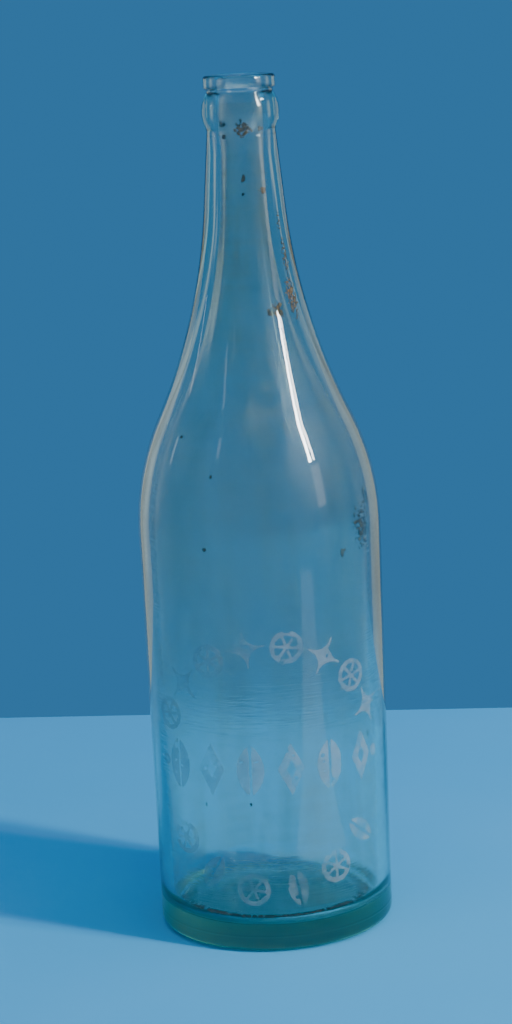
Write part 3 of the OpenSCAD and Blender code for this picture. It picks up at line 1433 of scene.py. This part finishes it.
@dataclass
class FiredEnamel:
    """The ring of ornaments and the row across its middle, rubbed and chipped."""

    glass: BottleGlass
    finish: WornEnamel
    ring_z: float = 71.0
    ring_r: float = 47.0
    ring_motif_h: float = 15.0
    upper_count: int = 8
    upper_pitch: float = 19.0
    lower_count: int = 6
    lower_pitch: float = 21.0
    centre_count: int = 6
    centre_pitch: float = 15.5
    centre_motif_h: float = 20.0
    stroke_w: float = 3.0
    slice_size: float = 0.84
    leaf_fat: float = 0.52
    rind_share: float = 0.6
    star_waist: float = 0.2
    star_reach: float = 0.6
    cell: float = 0.42
    under: float = 0.02
    over: float = 0.12
    chip: float = 0.22
    seed: int = 5

    def on_ring(self, motif: Motif, turn: float, height: float) -> Ornament:
        """An ornament on the ring.

        Args:
            motif: Its kind.
            turn: Degrees clockwise from the top.
            height: Its height.

        Returns:
            The ornament.
        """
        t = math.radians(turn)
        along = self.ring_r * math.sin(t)
        return Ornament(motif, along, self.ring_z + self.ring_r * math.cos(t), -turn, height)

    @staticmethod
    def half_ring(count: int, pitch: float, first: int) -> list[float]:
        """Turns of every second ornament in a half ring."""
        return [(i - (count - 1) / 2) * pitch for i in range(first, count, 2)]

    def plan(self) -> dict[str, list[Ornament]]:
        """The ornaments of each CAD node.

        Returns:
            The ornaments by the node's name.
        """
        small = self.ring_motif_h * self.slice_size
        tall = self.ring_motif_h
        upper = (self.upper_count, self.upper_pitch)
        lower = (self.lower_count, self.lower_pitch)
        middle = (self.centre_count - 1) / 2
        row = [(i, (i - middle) * self.centre_pitch) for i in range(self.centre_count)]
        return {
            "enamel_upper_slices": [
                self.on_ring(Motif.SLICE, t, small) for t in self.half_ring(*upper, 0)
            ],
            "enamel_upper_stars": [
                self.on_ring(Motif.STAR, t, tall) for t in self.half_ring(*upper, 1)
            ],
            "enamel_centre_leaves": [
                Ornament(Motif.LEAF, x, self.ring_z, 0.0, self.centre_motif_h)
                for i, x in row
                if i % 2 == 0
            ],
            "enamel_centre_lozenges": [
                Ornament(Motif.LOZENGE, x, self.ring_z, 0.0, self.centre_motif_h)
                for i, x in row
                if i % 2 == 1
            ],
            "enamel_lower_slices": [
                self.on_ring(Motif.SLICE, 180 - t, small) for t in self.half_ring(*lower, 0)
            ],
            "enamel_lower_leaves": [
                self.on_ring(Motif.LEAF, 180 - t, tall) for t in self.half_ring(*lower, 1)
            ],
            "enamel_end_dots": [
                self.on_ring(Motif.DOT, t, self.stroke_w * 1.5) for t in (-90.0, 90.0)
            ],
        }

    def distance(self, ornament: Ornament, u: np.ndarray, v: np.ndarray) -> np.ndarray:
        """Signed distance to an ornament's edge, negative on the enamel.

        Args:
            ornament: The ornament.
            u: Places across it.
            v: Places up it.

        Returns:
            The distances, in millimetres.
        """
        h = ornament.height
        line = self.stroke_w / 3
        if ornament.motif is Motif.DOT:
            return np.hypot(u, v) - h / 2
        if ornament.motif is Motif.SLICE:
            rind = self.rind_share * self.stroke_w
            best = np.abs(np.hypot(u, v) - (h - rind) / 2) - rind / 2
            for degrees in (0, 60, 120):
                c, s = math.cos(math.radians(degrees)), math.sin(math.radians(degrees))
                along, across = np.abs(u * c + v * s), np.abs(v * c - u * s)
                bar = np.maximum(along - (h - self.stroke_w) / 2, across - line / 2)
                best = np.minimum(best, bar)
            return best
        if ornament.motif is Motif.STAR:
            best = (np.abs(u) + np.abs(v) - h / 2) / math.sqrt(2)
            for degrees in (45, 135, 225, 315):
                cx = h * self.star_reach * math.cos(math.radians(degrees))
                cy = h * self.star_reach * math.sin(math.radians(degrees))
                hollow = h * (self.star_reach - self.star_waist) - np.hypot(u - cx, v - cy)
                best = np.maximum(best, hollow)
            return best
        w = h * self.leaf_fat / 2
        if ornament.motif is Motif.LEAF:
            r = (h * h / 4 + w * w) / (2 * w)
            best = np.maximum(np.hypot(u - (r - w), v), np.hypot(u + (r - w), v)) - r
            return np.maximum(best, line / 2 - np.abs(u))
        slant = math.hypot(h / 2, w)
        edge = (np.abs(u) * h / 2 + np.abs(v) * w - w * h / 2) / slant
        return np.maximum(edge, -(edge + self.stroke_w))

    def _worn(self, ornament: Ornament, shift: float) -> Field:
        """The ornament's field with rubbed edges and lost flakes.

        Args:
            ornament: The ornament.
            shift: Moves the wear, so that no two ornaments are worn alike.

        Returns:
            The field.
        """

        def level(u: np.ndarray, v: np.ndarray) -> np.ndarray:
            """Distances changed by wear.

            Args:
                u: Places across the ornament.
                v: Places up it.

            Returns:
                The distances, in millimetres.
            """
            best = self.distance(ornament, u, v)
            for index in np.ndindex(best.shape):
                if best[index] > 1.5:
                    continue
                a, b = float(u[index]), float(v[index])
                rub = noise.noise(Vector((a * 0.8, b * 0.8, shift)))
                fine = noise.noise(Vector((a * 2.1, b * 2.1, shift + 7)))
                lost = noise.noise(Vector((a * 0.42 + 9, b * 0.42, shift + 3)))
                edge = best[index] + self.chip * rub + 0.5 * self.chip * fine
                best[index] = max(edge, (lost - 0.46 + 0.2 * fine) * 2.0)
            return best

        return level

    def _place(self, ornament: Ornament) -> Place:
        """Lays the ornament's own plane on the wall, straight from the front.

        Args:
            ornament: The ornament.

        Returns:
            A function from a place on the ornament and a lift to a point in metres.
        """
        turn = ornament.along / self.glass.outline.shoulder_r
        c, s = math.cos(math.radians(ornament.tilt)), math.sin(math.radians(ornament.tilt))

        def place(u: float, v: float, lift: float) -> Vector:
            """A point of the layer.

            Args:
                u: Place across the ornament.
                v: Place up it.
                lift: Height above the glass.

            Returns:
                The point, in metres.
            """
            x, z = u * c - v * s, ornament.z + u * s + v * c
            radius = self.glass.walls.outside(z) + lift
            angle = math.asin(max(-1.0, min(1.0, x / radius))) + turn - math.pi / 2
            radius += self.glass.outer_shift(z, angle)
            return Vector((radius * math.cos(angle), radius * math.sin(angle), z)) * MM

        return place

    def build(self, groups: EffectGroups) -> list[bpy.types.Object]:
        """Builds one piece for each CAD node of enamel.

        Args:
            groups: The shared groups.

        Returns:
            The pieces.
        """
        material = self.finish.material(groups)
        pieces = []
        shift = float(self.seed)
        for node, ornaments in self.plan().items():
            bm = bmesh.new()
            for ornament in ornaments:
                shift += 11.3
                half = ornament.height / 2 + 1.0
                layer = ThinLayer(half, half, self.cell, self._worn(ornament, shift))
                layer.lay(bm, self._place(ornament), self.under, self.over)
            piece = new_piece(bm, node.replace("enamel", "worn"), material)
            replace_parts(piece, node)
            pieces.append(piece)
        return pieces


# ---- Residue inside -------------------------------------------------------------------------


class Side(Enum):
    """The side of the glass that a crust sits on."""

    INSIDE = "inside"
    OUTSIDE = "outside"


@dataclass(frozen=True)
class Deposit:
    """One cluster of crust on the wall, placed by height and by degrees from the front."""

    z: float
    azimuth: float
    half_w: float
    half_h: float
    cover: float
    side: Side = Side.INSIDE
    veined: bool = False
    grain: float = 0.9


@dataclass
class DriedResidue:
    """What dried inside the bottle: a thin bloom, flecks of dirt and crusts of rust."""

    glass: BottleGlass
    film: DriedFilm
    rust: Crust
    dirt: Crust
    film_from: float = 14.0
    film_to: float = 312.0
    film_off: float = 0.2
    film_t: float = 0.05
    film_segments: int = 160
    film_step: float = 2.0
    crust_cell: float = 0.2
    crust_under: float = 0.02
    crust_over: float = 0.22
    rust_at: tuple[Deposit, ...] = ()
    dirt_at: tuple[Deposit, ...] = ()
    seed: int = 23

    def _film(self, groups: EffectGroups) -> bpy.types.Object:
        """Builds the bloom as a closed shell close to the inner wall.

        Args:
            groups: The shared groups.

        Returns:
            The piece.
        """
        wall = [p for p in self.glass.outline.inner() if self.film_from < p.imag < self.film_to]
        top = complex(self.glass.outline.bore_d / 2, self.film_to)
        wall = self.glass.outline.refined([top, *wall], self.film_step)
        loop = [p - self.film_off for p in wall]
        loop += [p - self.film_off - self.film_t for p in reversed(wall)]
        bm = bmesh.new()
        angles = [2 * math.pi * i / self.film_segments for i in range(self.film_segments)]
        turned(bm, loop, angles, lambda i, a: self.glass.inner_shift(loop[i].imag, a), closed=True)
        bmesh.ops.recalc_face_normals(bm, faces=bm.faces)
        return new_piece(bm, "dried_film", self.film.material(groups))

    def _crust(
        self, name: str, finish: Crust, deposits: Sequence[Deposit], groups: EffectGroups
    ) -> bpy.types.Object:
        """Builds all clusters of one crust as one piece.

        Args:
            name: The piece's name.
            finish: Its finish.
            deposits: Its clusters.
            groups: The shared groups.

        Returns:
            The piece.
        """
        bm = bmesh.new()
        for index, deposit in enumerate(deposits):
            level = self._cluster(deposit, self.seed + index * 4.7)
            layer = ThinLayer(deposit.half_w, deposit.half_h, self.crust_cell, level)
            layer.lay(bm, self._place(deposit), self.crust_under, self.crust_over)
        return new_piece(bm, name, finish.material(groups))

    @staticmethod
    def _cluster(deposit: Deposit, shift: float) -> Field:
        """Flecks that thin out from the middle of a cluster.

        Args:
            deposit: The cluster.
            shift: Makes each cluster its own.

        Returns:
            The field.
        """

        def level(u: np.ndarray, v: np.ndarray) -> np.ndarray:
            """Negative on a fleck.

            Args:
                u: Places across the cluster.
                v: Places up it.

            Returns:
                The level at each place.
            """
            best = np.ones(u.shape)
            for index in np.ndindex(best.shape):
                a, b = float(u[index]), float(v[index])
                out = math.hypot(a / deposit.half_w, b / deposit.half_h)
                big = noise.noise(Vector((a * deposit.grain, b * deposit.grain * 0.7, shift)))
                fine = noise.noise(Vector((a * 2.6, b * 2.2, shift + 5)))
                if deposit.veined:
                    best[index] = 0.6 * out**2 + 2.2 * abs(big) - deposit.cover - 0.5 * fine
                else:
                    best[index] = out**2 - deposit.cover - 1.1 * big - 0.7 * fine
            return best

        return level

    def _place(self, deposit: Deposit) -> Place:
        """Lays a cluster on its wall.

        Args:
            deposit: The cluster.

        Returns:
            A function from a place on the cluster and a lift to a point in metres.
        """
        outside = deposit.side is Side.OUTSIDE

        def place(u: float, v: float, lift: float) -> Vector:
            """A point of the crust, lifted off the glass.

            Args:
                u: Place across the cluster.
                v: Place up it.
                lift: Distance from the glass.

            Returns:
                The point, in metres.
            """
            z = deposit.z + v
            radius = self.glass.walls.outside(z) if outside else self.glass.walls.inside(z)
            angle = math.radians(deposit.azimuth) - math.pi / 2 + u / radius
            if outside:
                radius += self.glass.outer_shift(z, angle) + lift
            else:
                radius += self.glass.inner_shift(z, angle) - lift
            return Vector((radius * math.cos(angle), radius * math.sin(angle), z)) * MM

        return place

    def build(self, groups: EffectGroups) -> list[bpy.types.Object]:
        """Builds the film and both crusts.

        Args:
            groups: The shared groups.

        Returns:
            The pieces.
        """
        return [
            self._film(groups),
            self._crust("rust_flakes", self.rust, self.rust_at, groups),
            self._crust("dirt_flecks", self.dirt, self.dirt_at, groups),
        ]


# ---- The studio -----------------------------------------------------------------------------


class Use(Enum):
    """What a soft box does."""

    LIGHT = "lights the table and shines back from the glass"
    FILL = "lights the table and leaves no shine on the glass"
    SHEEN = "only shines back from the glass"
    THROUGH = "is seen only through the glass"


@dataclass(frozen=True)
class SoftBox:
    """One soft light or reflecting card, placed by where it is seen from the bottle.

    Azimuth 0 is in front, and grows towards +X. A lying card faces up, others face the bottle.
    """

    name: str
    azimuth: float
    elevation: float
    distance: float
    width: float
    height: float
    radiance: float
    colour: tuple[float, float, float] = (1.0, 1.0, 1.0)
    use: Use = Use.LIGHT
    lying: bool = False

    def build(self, target: Vector) -> None:
        """Adds the light.

        Args:
            target: The point that it faces.
        """
        a, e = math.radians(self.azimuth), math.radians(self.elevation)
        away = Vector((math.sin(a) * math.cos(e), -math.cos(a) * math.cos(e), math.sin(e)))
        lamp = bpy.data.lights.new(self.name, "AREA")
        lamp.shape = "RECTANGLE"
        lamp.size = self.width
        lamp.size_y = self.height
        lamp.color = self.colour
        lamp.energy = self.radiance * math.pi * self.width * self.height
        holder = bpy.data.objects.new(self.name, lamp)
        holder.location = target + away * self.distance
        if self.lying:
            holder.rotation_euler = (math.pi, 0.0, a)
        else:
            holder.rotation_euler = (-away).to_track_quat("-Z", "Y").to_euler()
        holder.visible_camera = False
        holder.visible_diffuse = self.use in (Use.LIGHT, Use.FILL)
        holder.visible_glossy = self.use in (Use.LIGHT, Use.SHEEN)
        holder.visible_transmission = self.use is not Use.SHEEN
        bpy.context.scene.collection.objects.link(holder)


@dataclass
class Studio:
    """The table, the backdrop's colour, the lights and the camera."""

    paper: TablePaper
    boxes: tuple[SoftBox, ...]
    backdrop: tuple[float, float, float] = (0.036, 0.165, 0.375)
    table_side: float = 3.0
    table_front: float = 3.0
    table_back: float = 0.283
    table_skew: float = 5.5
    eye: tuple[float, float, float] = (0.0, -1.0, 0.365)
    look_at: tuple[float, float, float] = (-0.0011, 0.0, 0.159)
    lens: float = 95.06
    roll: float = -2.69
    glass_bounces: int = 24
    clear_bounces: int = 32
    table_cells: int = 12

    def build(self, groups: EffectGroups) -> None:
        """Sets up the studio.

        Args:
            groups: The shared groups.
        """
        cycles = bpy.context.scene.cycles
        cycles.transparent_max_bounces = self.clear_bounces
        cycles.max_bounces = self.glass_bounces
        cycles.transmission_bounces = self.glass_bounces
        self._table(groups)
        self._world()
        low, high = CAD_BOX
        for box in self.boxes:
            box.build((low + high) / 2)
        self._camera()

    def _table(self, groups: EffectGroups) -> None:
        """Adds the table top, with a straight far edge behind the bottle.

        Args:
            groups: The shared groups.
        """
        bm = bmesh.new()
        xs = np.linspace(-self.table_side, self.table_side, self.table_cells + 1)
        ys = np.linspace(-self.table_front, self.table_back, self.table_cells + 1)
        skew = math.tan(math.radians(self.table_skew))
        rows = [[bm.verts.new((x, y - x * skew, -CONTACT_GAP)) for x in xs] for y in ys]
        for low, high in zip(rows, rows[1:]):
            for i in range(self.table_cells):
                bm.faces.new((low[i], low[i + 1], high[i + 1], high[i]))
        mesh = bpy.data.meshes.new("table_top")
        bm.to_mesh(mesh)
        bm.free()
        mesh.materials.append(self.paper.material(groups))
        table = bpy.data.objects.new("table_top", mesh)
        bpy.context.scene.collection.objects.link(table)

    def _world(self) -> None:
        """Sets the plain backdrop colour that surrounds the table."""
        world = bpy.data.worlds.new("backdrop")
        world.use_nodes = True
        bench = NodeBench(world.node_tree)
        sky = bench.add("ShaderNodeBackground", Color=rgba(self.backdrop), Strength=1.0)
        bench.add("ShaderNodeOutputWorld", Surface=sky.outputs[0])
        bpy.context.scene.world = world

    def _camera(self) -> None:
        """Adds the camera, a little rolled."""
        lens = bpy.data.cameras.new("studio_camera")
        lens.lens = self.lens
        lens.clip_end = 100.0
        eye, target = Vector(self.eye), Vector(self.look_at)
        turn = (target - eye).to_track_quat("-Z", "Y").to_matrix()
        spin = Matrix.Rotation(math.radians(self.roll), 3, "Z")
        camera = bpy.data.objects.new("studio_camera", lens)
        camera.matrix_world = Matrix.Translation(eye) @ (turn @ spin).to_4x4()
        bpy.context.scene.collection.objects.link(camera)
        bpy.context.scene.camera = camera


GREY = (0.95, 0.85, 0.78)
OLIVE = (1.0, 0.80, 0.58)
STRAW = (1.0, 0.82, 0.26)

RUST_AT = (
    Deposit(303.0, 4.0, 3.4, 3.2, 0.46),
    Deposit(303.7, 50.0, 1.5, 1.5, 0.5),
    Deposit(280.5, 40.0, 1.5, 1.6, 0.6),
    Deposit(236.0, 38.0, 2.4, 4.2, 0.42),
    Deposit(243.0, 49.0, 2.8, 8.5, 0.30, Side.OUTSIDE, True),
    Deposit(153.5, -29.0, 0.8, 0.8, 0.8),
)
DIRT_AT = (
    Deposit(304.6, -3.0, 3.4, 3.0, 0.08),
    Deposit(305.8, -43.0, 1.4, 1.3, 0.5),
    Deposit(300.3, -46.0, 1.3, 1.3, 0.4),
    Deposit(285.3, -0.6, 0.8, 1.7, 0.6),
    Deposit(279.2, -2.0, 0.7, 1.0, 0.6),
    Deposit(241.0, 50.0, 3.6, 10.0, 0.44, Side.OUTSIDE, True),
    Deposit(256.0, 52.0, 2.4, 9.0, 0.34, Side.OUTSIDE, True),
    Deposit(268.0, 50.0, 1.8, 7.0, 0.22, Side.OUTSIDE, True),
    Deposit(235.7, 28.0, 2.0, 3.2, 0.4),
    Deposit(148.9, 44.6, 2.6, 2.6, 0.3),
    Deposit(156.0, 60.0, 7.0, 10.0, 0.08),
    Deposit(165.0, 68.0, 4.0, 7.0, 0.05),
    # A thin, dense dark band along the front of the inner corner, where the floor meets the wall.
    Deposit(9.6, 0.0, 62.0, 0.9, 1.0),
    Deposit(191.9, -51.5, 0.6, 0.6, 0.9),
    Deposit(179.5, -26.0, 0.6, 0.7, 0.9),
    Deposit(56.9, -11.0, 0.7, 0.8, 0.9),
)

SOFT_BOXES = (
    SoftBox("window_left_pane", 58.7, 30.0, 1.7, 0.10, 0.60, 110.0),
    SoftBox("window_right_pane", 63.2, 30.0, 1.7, 0.06, 0.60, 60.0),
    SoftBox("window_sill", 62.5, 10.5, 1.7, 0.28, 0.46, 1.8, (1.0, 0.88, 0.88)),
    SoftBox("collar_lamp", 79.0, 34.0, 1.7, 0.30, 0.14, 38.0, use=Use.SHEEN),
    SoftBox("rim_lamp", 64.6, 44.0, 1.7, 0.14, 0.10, 25.0, use=Use.SHEEN),
    SoftBox("left_lamp", -44.0, 30.0, 1.7, 0.08, 0.25, 1.5),
    SoftBox("left_far_lamp", -101.5, 16.0, 1.7, 0.07, 0.25, 2.5),
    SoftBox("table_sheen", 41.0, -22.7, 0.417, 0.12, 0.50, 0.7, (0.9, 1.0, 1.0), Use.SHEEN, True),
    SoftBox("overhead", 20.0, 70.0, 1.6, 1.4, 1.4, 1.7, (1.0, 0.98, 0.95), Use.FILL),
    SoftBox("left_far_card", -150.0, 2.0, 0.75, 0.24, 0.36, 0.34, OLIVE, Use.THROUGH),
    SoftBox("right_far_card", 150.0, 2.0, 0.75, 0.24, 0.36, 0.34, OLIVE, Use.THROUGH),
    SoftBox("left_edge_card", -140.0, -2.0, 0.95, 0.44, 0.66, 0.60, STRAW, Use.SHEEN),
    SoftBox("right_edge_card", 140.0, -2.0, 0.95, 0.44, 0.66, 0.60, STRAW, Use.SHEEN),
    SoftBox("left_near_card", -144.0, -19.0, 0.32, 0.06, 0.10, 0.22, GREY, Use.THROUGH),
    SoftBox("right_near_card", 144.0, -19.0, 0.32, 0.06, 0.10, 0.22, GREY, Use.THROUGH),
)


def main() -> None:
    """Builds the glass, the enamel, the residue and the studio, in that order."""
    logging.basicConfig(level=logging.INFO, format="%(name)s %(message)s")
    groups = EffectGroups()
    outline = GlassOutline()
    glass = BottleGlass(outline, WallTable(outline), AquaGlass())
    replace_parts(glass.build(groups), "glass_bottle")
    FiredEnamel(glass, WornEnamel()).build(groups)
    rust = Crust("rust_crust", (0.50, 0.22, 0.06), (0.14, 0.065, 0.02))
    dirt = Crust("dirt_crust", (0.04, 0.028, 0.015), (0.20, 0.13, 0.06))
    DriedResidue(glass, DriedFilm(), rust, dirt, rust_at=RUST_AT, dirt_at=DIRT_AT).build(groups)
    Studio(TablePaper(), SOFT_BOXES).build(groups)


if __name__ == "__main__":
    main()
